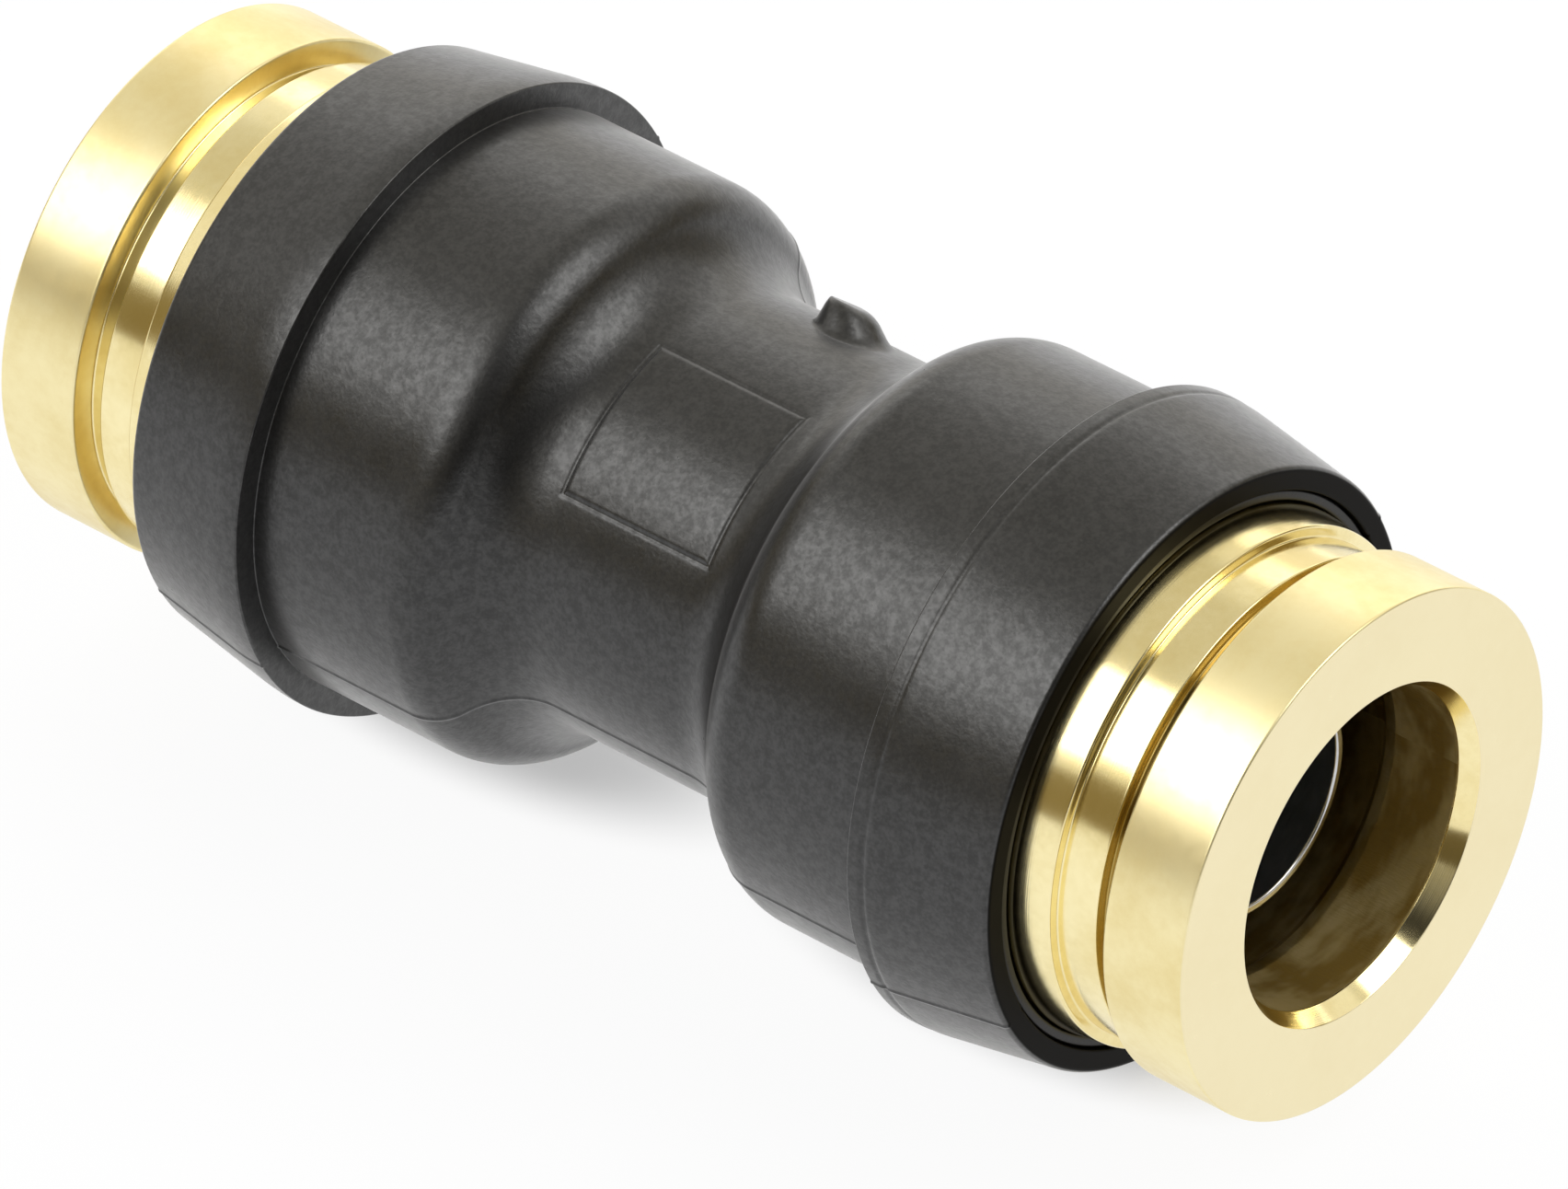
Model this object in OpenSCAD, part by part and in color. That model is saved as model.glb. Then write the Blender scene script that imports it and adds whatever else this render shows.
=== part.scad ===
// Straight push fit coupling for two tubes of one size.
// The tube axis is X, the middle of the coupling is the origin, and both ends are alike.
// Sizes along the axis are stacked from the middle wall outwards; radii from the tube outwards.

/* [Tube] */
// Outside diameter of the tube
tube_d = 8; // [6:0.5:12]
// Wall of the tube
tube_wall = 1; // [0.8:0.1:1.5]
// Radial play of the tube in its socket
tube_play = 0.1; // [0.06:0.01:0.2]

/* [Tube support] */
// Wall of the steel support sleeve
support_wall = 0.25; // [0.2:0.05:0.6]
// Radial play of the support inside the tube
support_play = 0.1; // [0.05:0.01:0.2]
// Thickness of the support's head at the middle wall
support_head_t = 0.6; // [0.4:0.1:1]
// Depth of the support's front edge behind the sleeve's face
support_setback = 2.9; // [2.7:0.1:5]
// Bevel on the support's front edge
support_bevel = 0.08; // [0.04:0.01:0.09]

/* [Body] */
// Wall between the two tube ends
stop_wall = 2; // [1.2:0.1:4]
// Length of the narrow bore that pilots the tube
pilot_len = 3.3; // [3:0.1:8]
// Wall of the waist around the pilot bore
waist_wall = 1.6; // [1.2:0.1:2.4]
// Wall of the shoulder around the retainer
shoulder_wall = 1.16; // [1:0.02:2.4]
// How far the full shoulder starts outside the seal chamber's floor
shoulder_lead = 0.9; // [0.1:0.05:1]
// Convex radius where the shoulder turns down to the waist
shoulder_round = 1.4; // [0.8:0.1:1.6]
// Concave radius where the shoulder meets the waist
waist_fillet = 2.25; // [1.6:0.05:2.6]

/* [Collar] */
// Length of the tapered collar
collar_len = 3.75; // [3:0.05:5]
// Height of the step from the shoulder to the back of the collar
collar_step = 0.65; // [0.5:0.05:1.2]
// Straight land at the back of the collar
collar_land = 0.45; // [0.2:0.05:0.8]
// Wall of the mouth around the wiper ring
mouth_wall = 0.58; // [0.35:0.01:0.8]
// Edge radius of the mouth
mouth_round = 0.16; // [0.1:0.02:0.3]
// Width of the small bead in the root behind the collar
root_bead = 0.16; // [0.08:0.02:0.25]

/* [Moulding marks] */
// Length of the plain panel on the waist, along the axis
panel_len = 4.4; // [2:0.1:5]
// Width of the panel around the waist
panel_w = 4.2; // [2:0.1:5]
// Height of the panel
panel_rise = 0.06; // [0.03:0.01:0.15]
// Clock angle of the panel, from the front up
panel_clock = 57.5; // [0:0.5:180]
// Length of the gate stub's foot along the axis
stub_len = 1.95; // [1.5:0.05:3]
// Place of the stub along the axis, from the middle
stub_x = 0.35; // [-0.5:0.05:0.5]
// Height of the gate stub above the waist
stub_rise = 0.62; // [0.3:0.02:0.8]
// Half angle of the stub's cone
stub_draft = 30; // [10:1:40]
// Lean of the stub's cone along the axis
stub_lean = 20; // [0:1:35]
// Slope by which the stub's cut face falls to the back
stub_slope = 10; // [0:1:25]
// Clock angle of the stub
stub_clock = 120; // [0:1:180]
// Clock angle of the mould's parting line
parting_clock = -27; // [-90:1:90]
// Width of the parting line
parting_w = 0.1; // [0.05:0.01:0.2]
// Height of the parting line
parting_rise = 0.035; // [0.02:0.005:0.08]

/* [Release sleeve] */
// Travel of the sleeve when it is pushed in
travel = 1.5; // [1:0.1:2]
// Wall of the sleeve's tail
tail_wall = 1; // [0.9:0.05:1.5]
// Length of the guide band, from its shoulder to the neck
guide_len = 1.8; // [1.4:0.05:2.5]
// Part of the guide band that stands inside the body
guide_cover = 0.8; // [0.7:0.05:1.3]
// Fall of the guide band's radius from the mouth out to the neck
guide_fall = 0.12; // [0:0.01:0.14]
// Gap between flange and mouth when the sleeve is pushed in
flange_room = 1.15; // [0.2:0.05:1.5]
// Depth of the neck below the full radius of the guide band
neck_depth = 0.4; // [0.25:0.05:0.5]
// Width of the undercut behind the flange
undercut_w = 0.5; // [0.3:0.05:0.9]
// Depth of the undercut below the neck
undercut_depth = 0.3; // [0.1:0.05:0.6]
// Length of the flange
flange_len = 2.3; // [2.2:0.05:4]
// Bevel on the turned edges
edge_bevel = 0.1; // [0.04:0.02:0.15]
// Length of the entry bevel of the socket
entry_len = 0.46; // [0.3:0.02:0.5]
// Depth of the entry bevel of the socket
entry_depth = 0.26; // [0.1:0.02:0.5]
// Length of the land that guides the tube
land_len = 2.15; // [1.5:0.05:2.2]
// Depth of the relief behind the land
relief_depth = 0.2; // [0.1:0.05:0.3]

/* [Seals] */
// Section diameter of the tube seal
seal_section = 2; // [1.6:0.1:2.6]
// Radial squeeze of the tube seal on the tube
seal_squeeze = 0.2; // [0.1:0.05:0.4]
// Radial width of the wiper ring
wiper_w = 0.32; // [0.25:0.01:0.5]
// Length of the wiper ring
wiper_len = 0.45; // [0.4:0.05:0.8]
// Depth of the wiper ring behind the mouth
wiper_setback = 0.1; // [0.05:0.05:0.3]

/* [Grip] */
// Sheet thickness of the grab ring
grab_t = 0.3; // [0.2:0.05:0.4]
// Number of teeth
tooth_count = 12; // [8:1:16]
// Radial length of the teeth
tooth_len = 1.15; // [0.9:0.05:1.3]
// Slope of the teeth
tooth_slope = 30; // [20:1:35]
// Slope by which the guard's dish falls away from the teeth
tooth_clear = 4; // [2:1:6]
// Bite of the teeth into the tube
tooth_bite = 0.05; // [0.02:0.01:0.1]
// Width of the slots between the teeth
slot_w = 0.4; // [0.3:0.05:0.6]
// Thickness of the tooth guard under its dish
guard_floor = 0.24; // [0.2:0.02:0.6]
// Skirt wall of the retainer
retainer_wall = 0.52; // [0.4:0.02:0.8]
// Thickness of the retainer's front lip
lip_t = 0.6; // [0.6:0.05:1.2]
// Wire diameter of the snap ring
snap_wire = 0.55; // [0.4:0.05:0.7]
// Depth of the snap ring in its groove
snap_sink = 0.25; // [0.2:0.01:0.3]
// Opening of the snap ring
snap_opening = 1.6; // [1:0.1:3]

/* [Return spring] */
// Sheet thickness of the wave washer
spring_t = 0.25; // [0.15:0.05:0.35]
// Radial width of the wave washer
spring_w = 1.2; // [0.8:0.02:1.6]
// Number of waves
spring_waves = 3; // [3:1:5]

/* [Fits] */
// Radial play of sliding faces
slide_play = 0.07; // [0.03:0.01:0.1]
// Gap at seated faces
seat_gap = 0.02; // [0.01:0.01:0.04]
// Room at the end of a travel
end_room = 0.1; // [0.05:0.01:0.2]

/* [Hidden] */
$fn = 96;
arc_steps = 14;
edge_steps = 5;
wave_steps = 72;

// Radii, from the tube outwards
tube_r = tube_d / 2;
socket_r = tube_r + tube_play;
support_r = tube_r - tube_wall - support_play;
flow_r = support_r - support_wall;
waist_r = socket_r + waist_wall;
seal_chamber_r = tube_r + seal_section - seal_squeeze;
relief_r = socket_r + relief_depth;
tail_r = relief_r + tail_wall;
snap_groove_r = tail_r - snap_sink;
snap_mid_r = snap_groove_r + seat_gap + snap_wire / 2;
skirt_r = snap_mid_r + snap_wire / 2 + end_room;
retainer_r = max(skirt_r, seal_chamber_r) + retainer_wall;
seat_bore_r = retainer_r + seat_gap;
shoulder_r = seat_bore_r + shoulder_wall;
spring_in_r = tail_r + end_room;
spring_out_r = max(spring_in_r + spring_w, seat_bore_r);
guide_r = spring_out_r + end_room;
neck_r = guide_r - neck_depth;
undercut_r = neck_r - undercut_depth;
sleeve_bore_r = guide_r + slide_play;
wiper_in_r = guide_r + slide_play / 2;
wiper_out_r = guide_r + wiper_w;
wiper_bore_r = wiper_out_r + seat_gap;
mouth_r = wiper_bore_r + mouth_wall;
collar_r = shoulder_r + collar_step;
tooth_tip_r = tube_r - tooth_bite;
tooth_root_r = tooth_tip_r + tooth_len;
dish_r = tooth_root_r + end_room / 2;

// Places along the axis, from the middle wall outwards
stop_x = stop_wall / 2;
chamber_x = stop_x + pilot_len;
seal_x = chamber_x + seat_gap + seal_section / 2;
guard_x = chamber_x + seal_section + 2 * seat_gap;
dish_depth = (dish_r - socket_r) * tan(tooth_slope + tooth_clear);
grab_x = guard_x + guard_floor + dish_depth;
retainer_x = grab_x + grab_t;
lip_x = retainer_x + travel + snap_wire + 2 * end_room;
spring_x = lip_x + lip_t;
spring_h = travel + spring_t + end_room;
guide_x = spring_x + spring_h;
neck_x = guide_x + guide_len;
mouth_x = guide_x + guide_cover;
flange_x = mouth_x + travel + flange_room;
undercut_x = flange_x - undercut_w;
face_x = flange_x + flange_len;
reach = 4 * face_x;
sleeve_bore_x = spring_x - end_room;
wiper_x = mouth_x - wiper_setback - wiper_len;
collar_x = mouth_x - collar_len;
snap_x = lip_x - end_room - snap_wire / 2;
land_x = face_x - entry_len - land_len;
support_x = face_x - support_setback;

// The shoulder's two arcs meet where their common slope is steepest
turn_sum = shoulder_round + waist_fillet;
turn_angle = acos(1 - (shoulder_r - waist_r) / turn_sum);
shoulder_x = chamber_x + shoulder_lead;
waist_x = shoulder_x - turn_sum * sin(turn_angle);

// Half angle of the collar's cone
collar_taper = atan((collar_r - mouth_r) / (collar_len - collar_land));

black_nylon = "#2d2b2a";
brass = "#dcc06a";
black_rubber = "#171514";
spring_steel = "#b4b8bc";
bright_steel = "#cfd2d4";
white_acetal = "#e6e2d6";

// Helpers

// Turns a profile of [radius, place] points around the tube axis
module turned() {
    rotate([0, 90, 0])
        rotate_extrude()
            children();
}

// A bore or a disc along the tube axis between two places
module round_bar(radius, from_x, to_x) {
    translate([from_x, 0, 0])
        rotate([0, 90, 0])
            cylinder(r = radius, h = to_x - from_x);
}

// Turns what points up to a clock angle, counted from the front up
module clocked(angle) {
    rotate([90 - angle, 0, 0])
        children();
}

// Makes the left end from the right one
module left() {
    mirror([1, 0, 0])
        children();
}

// Points of an arc in a profile, with angles counted from the radius towards the axis
function arc(mid_r, mid_x, radius, from, to, steps) =
    [for (i = [0 : steps]) let (a = from + (to - from) * i / steps)
        [mid_r + radius * cos(a), mid_x + radius * sin(a)]];

// Outline of the right half of the body, from the waist to the mouth
function half_outline(grow) = concat(
    arc(waist_r + waist_fillet + grow, waist_x, waist_fillet, 180, 180 - turn_angle, arc_steps),
    arc(shoulder_r - shoulder_round + grow, shoulder_x, shoulder_round, -turn_angle, 0, arc_steps),
    [
        [shoulder_r + grow, collar_x - root_bead],
        [shoulder_r + root_bead + grow, collar_x - root_bead],
        [shoulder_r + 2 * root_bead + grow, collar_x],
        [collar_r - edge_bevel + grow, collar_x],
        [collar_r + grow, collar_x + edge_bevel],
        [collar_r + grow, collar_x + collar_land]
    ],
    arc(mouth_r - mouth_round + grow, mouth_x - mouth_round, mouth_round, collar_taper, 90, edge_steps)
);

// Solid outer form of the body
module body_form(grow = 0) {
    half = half_outline(grow);
    last = len(half) - 1;
    turned()
        polygon(concat(
            [[0, mouth_x]],
            [for (i = [last : -1 : 0]) half[i]],
            [for (p = half) [p[0], -p[1]]],
            [[0, -mouth_x]]
        ));
}

// Bores of the right half of the body
module socket_bores() {
    round_bar(socket_r, stop_x, mouth_x);
    round_bar(seal_chamber_r, chamber_x, mouth_x);
    round_bar(seat_bore_r, grab_x, mouth_x);
    round_bar(sleeve_bore_r, sleeve_bore_x, mouth_x);
    round_bar(wiper_bore_r, wiper_x - seat_gap, mouth_x + end_room);
}

// Plain raised panel on the waist
module panel() {
    intersection() {
        round_bar(waist_r + panel_rise, -panel_len / 2, panel_len / 2);
        clocked(panel_clock)
            translate([0, 0, socket_r + waist_wall / 2])
                linear_extrude(waist_r)
                    square([panel_len, panel_w], center = true);
    }
}

// Leaning stub of the moulding gate, cut off at a slope
module gate_stub() {
    wide_slope = tan(stub_draft + stub_lean);
    point_rise = stub_len / (wide_slope + tan(stub_draft - stub_lean));
    axis_x = stub_x + stub_len / 2 - point_rise * (wide_slope - tan(stub_lean));
    cone_len = waist_wall + point_rise / cos(stub_lean);
    clocked(stub_clock)
        difference() {
            translate([axis_x, 0, waist_r])
                rotate([0, -stub_lean, 0])
                    translate([0, 0, -waist_wall])
                        cylinder(r1 = cone_len * tan(stub_draft), r2 = 0, h = cone_len);
            translate([0, 0, waist_r + stub_rise])
                rotate([-stub_slope, 0, 0])
                    linear_extrude(reach)
                        square(reach, center = true);
        }
}

// Fine ridges where the mould halves meet
module parting_line() {
    intersection() {
        body_form(parting_rise);
        clocked(parting_clock)
            cube([reach, parting_w, reach], center = true);
    }
}

// Moulded body
module body() {
    color(black_nylon)
        difference() {
            union() {
                body_form();
                panel();
                gate_stub();
                parting_line();
            }
            round_bar(flow_r, -mouth_x, mouth_x);
            socket_bores();
            left() socket_bores();
        }
}

// Turned brass sleeve that frees the tube when it is pushed in
module release_sleeve() {
    tooth_rise = tan(tooth_slope);
    nose_x = retainer_x + end_room / 2 + travel;
    nose_r = relief_r + tail_wall / 2;
    bevel_x = retainer_x + end_room + travel;
    color(brass)
        difference() {
            turned()
                polygon([
                    [relief_r, nose_x - (tooth_root_r - relief_r) * tooth_rise],
                    [nose_r, nose_x - (tooth_root_r - nose_r) * tooth_rise],
                    [tail_r, bevel_x],
                    [tail_r, guide_x],
                    [guide_r - edge_bevel, guide_x],
                    [guide_r, guide_x + edge_bevel],
                    [guide_r, mouth_x],
                    [guide_r - guide_fall, neck_x - edge_bevel / 2],
                    [guide_r - guide_fall - edge_bevel / 2, neck_x],
                    [neck_r, neck_x],
                    [neck_r, undercut_x],
                    [undercut_r, undercut_x],
                    [undercut_r, flange_x],
                    [guide_r - edge_bevel / 2, flange_x],
                    [guide_r, flange_x + edge_bevel / 2],
                    [guide_r, face_x - edge_bevel],
                    [guide_r - edge_bevel, face_x],
                    [socket_r + entry_depth, face_x],
                    [socket_r, face_x - entry_len],
                    [socket_r, land_x],
                    [relief_r, land_x - relief_depth]
                ]);
            snap_groove();
        }
}

// Groove of the snap ring in the sleeve's tail
module snap_groove() {
    half_w = snap_wire / 2 + seat_gap;
    turned()
        polygon([
            [snap_groove_r, snap_x - half_w],
            [guide_r, snap_x - half_w],
            [guide_r, snap_x + half_w],
            [snap_groove_r, snap_x + half_w]
        ]);
}

// Rubber ring that wipes the sleeve at the body's mouth
module wiper_ring() {
    front_x = wiper_x + wiper_len;
    color(black_rubber)
        turned()
            polygon([
                [wiper_in_r + edge_bevel, wiper_x],
                [wiper_out_r, wiper_x],
                [wiper_out_r, front_x - edge_bevel],
                [wiper_out_r - edge_bevel, front_x],
                [wiper_in_r + edge_bevel, front_x],
                [wiper_in_r, front_x - edge_bevel],
                [wiper_in_r, wiper_x + edge_bevel]
            ]);
}

// Wave washer that pushes the sleeve out
module return_spring() {
    rise = spring_h - spring_t - 2 * seat_gap;
    base_x = spring_x + seat_gap;
    rings = [for (i = [0 : wave_steps - 1])
        let (a = 360 * i / wave_steps, x = base_x + rise * (1 - cos(spring_waves * a)) / 2)
        for (corner = [[spring_in_r, 0], [spring_out_r, 0], [spring_out_r, spring_t], [spring_in_r, spring_t]])
            [x + corner[1], corner[0] * cos(a), corner[0] * sin(a)]];
    sides = [for (i = [0 : wave_steps - 1], k = [0 : 3])
        let (
            next = (i + 1) % wave_steps,
            a = 4 * i + k,
            b = 4 * i + (k + 1) % 4,
            c = 4 * next + (k + 1) % 4,
            d = 4 * next + k
        )
        for (face = [[a, b, c], [a, c, d]])
            face];
    color(spring_steel)
        polyhedron(rings, sides);
}

// Pressed-in ring with the lip that stops the sleeve
module retainer() {
    lip_r = tail_r + slide_play;
    color(brass)
        turned()
            polygon([
                [skirt_r, retainer_x],
                [retainer_r, retainer_x],
                [retainer_r, spring_x],
                [lip_r, spring_x],
                [lip_r, lip_x],
                [skirt_r, lip_x]
            ]);
}

// Open wire ring in the sleeve's groove
module snap_ring() {
    color(spring_steel)
        difference() {
            translate([snap_x, 0, 0])
                turned()
                    translate([snap_mid_r, 0])
                        circle(d = snap_wire);
            translate([snap_x - snap_wire, -snap_opening / 2, 0])
                cube([2 * snap_wire, snap_opening, 2 * snap_mid_r]);
        }
}

// Toothed ring that grips the tube
module grab_ring() {
    tooth_drop = (tooth_root_r - tooth_tip_r) * tan(tooth_slope);
    pitch = 360 / tooth_count;
    color(bright_steel)
        difference() {
            turned()
                polygon([
                    [tooth_tip_r, grab_x - tooth_drop],
                    [tooth_root_r, grab_x],
                    [retainer_r - seat_gap, grab_x],
                    [retainer_r - seat_gap, retainer_x],
                    [tooth_root_r, retainer_x],
                    [tooth_tip_r, retainer_x - tooth_drop]
                ]);
            for (i = [0 : tooth_count - 1])
                rotate([i * pitch, 0, 0])
                    translate([grab_x - 2 * tooth_drop, -slot_w / 2, 0])
                        cube([4 * tooth_drop, slot_w, tooth_root_r]);
        }
}

// Plastic ring that keeps the teeth off the tube seal
module tooth_guard() {
    color(white_acetal)
        turned()
            polygon([
                [socket_r, guard_x],
                [seal_chamber_r - seat_gap, guard_x],
                [seal_chamber_r - seat_gap, grab_x],
                [dish_r, grab_x],
                [socket_r, grab_x - dish_depth]
            ]);
}

// O-ring that seals on the tube
module tube_seal() {
    color(black_rubber)
        translate([seal_x, 0, 0])
            turned()
                translate([seal_chamber_r - seat_gap - seal_section / 2, 0])
                    circle(d = seal_section);
}

// Steel sleeve that carries the tube from inside
module tube_support() {
    head_r = socket_r - seat_gap;
    color(bright_steel)
        turned()
            polygon([
                [flow_r, stop_x],
                [head_r, stop_x],
                [head_r, stop_x + support_head_t],
                [support_r, stop_x + support_head_t],
                [support_r, support_x - support_bevel],
                [support_r - support_bevel, support_x],
                [flow_r + support_bevel, support_x],
                [flow_r, support_x - support_bevel]
            ]);
}

body();
release_sleeve();  // release_sleeve_right
left() release_sleeve();  // release_sleeve_left
wiper_ring();  // wiper_ring_right
left() wiper_ring();  // wiper_ring_left
return_spring();  // return_spring_right
left() return_spring();  // return_spring_left
retainer();  // retainer_right
left() retainer();  // retainer_left
snap_ring();  // snap_ring_right
left() snap_ring();  // snap_ring_left
grab_ring();  // grab_ring_right
left() grab_ring();  // grab_ring_left
tooth_guard();  // tooth_guard_right
left() tooth_guard();  // tooth_guard_left
tube_seal();  // tube_seal_right
left() tube_seal();  // tube_seal_left
tube_support();  // tube_support_right
left() tube_support();  // tube_support_left
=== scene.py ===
import math
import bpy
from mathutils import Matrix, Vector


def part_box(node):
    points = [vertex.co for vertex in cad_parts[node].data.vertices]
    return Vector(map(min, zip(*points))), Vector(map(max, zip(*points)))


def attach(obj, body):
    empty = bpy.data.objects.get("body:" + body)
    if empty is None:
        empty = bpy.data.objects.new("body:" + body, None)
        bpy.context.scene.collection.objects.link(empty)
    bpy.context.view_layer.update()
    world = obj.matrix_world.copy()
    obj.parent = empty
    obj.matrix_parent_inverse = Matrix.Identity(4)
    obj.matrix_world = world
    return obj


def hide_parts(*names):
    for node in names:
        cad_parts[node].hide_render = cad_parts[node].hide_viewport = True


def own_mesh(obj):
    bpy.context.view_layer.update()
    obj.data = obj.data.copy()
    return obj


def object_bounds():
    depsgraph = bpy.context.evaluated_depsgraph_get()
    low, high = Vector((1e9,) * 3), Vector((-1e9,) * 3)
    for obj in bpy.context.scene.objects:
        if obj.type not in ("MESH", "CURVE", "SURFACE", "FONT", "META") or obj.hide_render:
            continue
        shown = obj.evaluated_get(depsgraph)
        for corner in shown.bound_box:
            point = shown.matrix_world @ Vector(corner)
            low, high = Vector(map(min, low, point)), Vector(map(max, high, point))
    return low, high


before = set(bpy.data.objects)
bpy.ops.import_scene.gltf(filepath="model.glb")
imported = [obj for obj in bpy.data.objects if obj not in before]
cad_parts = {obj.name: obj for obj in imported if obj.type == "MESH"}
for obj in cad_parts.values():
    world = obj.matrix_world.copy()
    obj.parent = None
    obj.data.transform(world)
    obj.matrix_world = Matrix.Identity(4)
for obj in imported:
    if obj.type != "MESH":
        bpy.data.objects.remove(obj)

from types import SimpleNamespace

import bpy
import numpy as np
from mathutils import Vector

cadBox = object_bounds()  # the CAD box, before anything is added
mm = 0.001
sides = {"right": 1, "left": -1}
print("frame loaded:", len(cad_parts), "nodes")


# Camera at the photograph's angle, with the coupling where the photograph has it
shot = {
    "azimuth": 40.0,
    "elevation": 37.05,
    "distance": 455,  # mm, to the coupling's middle
    "focal": 21057,  # in pixels of the photograph
    "frame": (1704, 1292),
    "middle": (829.5, 601.0),  # pixel of the coupling's middle
    "sensor": 36,
    "clipStart": 0.02,
}


def outward(azimuth, elevation):  # unit vector; the azimuth runs from the front towards +X
    azimuth, elevation = math.radians(azimuth), math.radians(elevation)
    level = math.cos(elevation)
    return Vector((math.sin(azimuth) * level, -math.cos(azimuth) * level, math.sin(elevation)))


def placeCamera(shot):
    back = outward(shot["azimuth"], shot["elevation"])
    right = outward(shot["azimuth"] + 90, 0)
    up = back.cross(right)
    pixel = shot["distance"] / shot["focal"] * mm
    overX = (shot["frame"][0] / 2 - shot["middle"][0]) * pixel
    overY = (shot["frame"][1] / 2 - shot["middle"][1]) * pixel
    lens = bpy.data.cameras.new("photoCamera")
    lens.sensor_width = shot["sensor"]
    lens.lens = shot["focal"] / shot["frame"][0] * shot["sensor"]
    lens.clip_start = shot["clipStart"]
    camera = bpy.data.objects.new("photoCamera", lens)
    camera.location = back * shot["distance"] * mm + right * overX - up * overY
    camera.rotation_euler = (-back).to_track_quat("-Z", "Y").to_euler()
    bpy.context.scene.collection.objects.link(camera)
    bpy.context.scene.camera = camera


placeCamera(shot)
bpy.context.scene.view_settings.view_transform = "Standard"
print("camera placed")


# Shader maths: a wrapped socket that takes part in Python expressions
class Wire:
    def __init__(self, tree, socket):
        self.tree = tree
        self.socket = socket

    def __add__(self, other):
        return self.tree.maths("ADD", self, other)

    def __sub__(self, other):
        return self.tree.maths("SUBTRACT", self, other)

    def __rsub__(self, other):
        return self.tree.maths("SUBTRACT", other, self)

    def __mul__(self, other):
        return self.tree.maths("MULTIPLY", self, other)

    def __truediv__(self, other):
        return self.tree.maths("DIVIDE", self, other)

    def __rtruediv__(self, other):
        return self.tree.maths("DIVIDE", other, self)

    def __pow__(self, other):
        return self.tree.maths("POWER", self, other)

    def __rpow__(self, other):
        return self.tree.maths("POWER", other, self)

    def __abs__(self):
        return self.tree.maths("ABSOLUTE", self)

    __radd__ = __add__
    __rmul__ = __mul__

    def most(self, other):
        return self.tree.maths("MAXIMUM", self, other)

    def step(self, low, high):  # 0 below low, 1 above high, smooth between
        inputs = {"Value": self, "From Min": low, "From Max": high}
        return self.tree.node("ShaderNodeMapRange", {"interpolation_type": "SMOOTHSTEP"}, inputs)

    def bell(self, middle, width):  # 1 at the middle, fading to 0 over the width
        return 1 - abs(self - middle).step(0, width)


# A node tree whose nodes all come from one method
class Tree:
    def __init__(self, nodeTree):
        self.nodes = nodeTree.nodes
        self.links = nodeTree.links
        self.nodes.clear()

    def node(self, kind, settings=None, inputs=None, out=0):
        made = self.nodes.new(kind)
        for name, value in (settings or {}).items():
            setattr(made, name, value)
        for name, value in (inputs or {}).items():
            if isinstance(value, Wire):
                self.links.new(value.socket, made.inputs[name])
            else:
                made.inputs[name].default_value = value
        return Wire(self, made.outputs[out]) if made.outputs else None

    def maths(self, operation, *terms):
        return self.node("ShaderNodeMath", {"operation": operation}, dict(enumerate(terms)))

    def mix(self, factor, first, second):  # of two colours, which are this node's sockets 6 and 7
        first, second = [(*c, 1) if isinstance(c, tuple) else c for c in (first, second)]
        return self.node("ShaderNodeMix", {"data_type": "RGBA"}, {0: factor, 6: first, 7: second}, 2)

    def noise(self, where, scale, detail=2, rough=0.5, kind="3D"):
        inputs = {"Vector": where, "Scale": scale, "Detail": detail, "Roughness": rough}
        return self.node("ShaderNodeTexNoise", {"noise_dimensions": kind}, inputs)

    def vector(self, x, y, z):
        return self.node("ShaderNodeCombineXYZ", None, {"X": x, "Y": y, "Z": z})

    def streaks(self, first, second, perFirst, perSecond, detail, rough):  # so many in one unit of each
        return self.noise(self.vector(first * perFirst, second * perSecond, 0), 1.0, detail, rough, "2D")

    def places(self):  # a point of the piece in mm, and its clock angle from the front up
        point = self.node("ShaderNodeTexCoord", None, None, "Object")
        point = self.node("ShaderNodeVectorMath", {"operation": "SCALE"}, {0: point, "Scale": 1 / mm})
        x, y, z = [self.node("ShaderNodeSeparateXYZ", None, {0: point}, axis) for axis in "XYZ"]
        radius = (y * y + z * z) ** 0.5
        clock = self.maths("ARCTAN2", z, y * -1)
        return SimpleNamespace(point=point, x=x, y=y, radius=radius, clock=clock)

    def bump(self, height, strength, depth, normal=None):
        inputs = {"Height": height, "Strength": strength, "Distance": depth * mm}
        if normal:
            inputs["Normal"] = normal
        return self.node("ShaderNodeBump", None, inputs)

    def finish(self, shader):
        self.node("ShaderNodeOutputMaterial", None, {"Surface": shader})


def newFinish(name):
    material = bpy.data.materials.new(name)
    material.use_nodes = True
    return material, Tree(material.node_tree)


def seenRays(tree):  # 1 for what the camera looks at, then 1 for what a reflection or a clear piece looks at
    kinds = ("Is Camera Ray", "Is Glossy Ray", "Is Transmission Ray")
    camera, glossy, clear = [tree.node("ShaderNodeLightPath", None, None, kind) for kind in kinds]
    return camera, glossy.most(clear)


# Faces between rows of points that run round; closed joins the last row to the first
def gridFaces(rows, columns, closed):
    row, column = np.meshgrid(np.arange(rows if closed else rows - 1), np.arange(columns), indexing="ij")
    here, after = row * columns, (row + 1) % rows * columns
    nextColumn = (column + 1) % columns
    return np.stack([here + column, here + nextColumn, after + nextColumn, after + column], -1).reshape(-1, 4)


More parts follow.
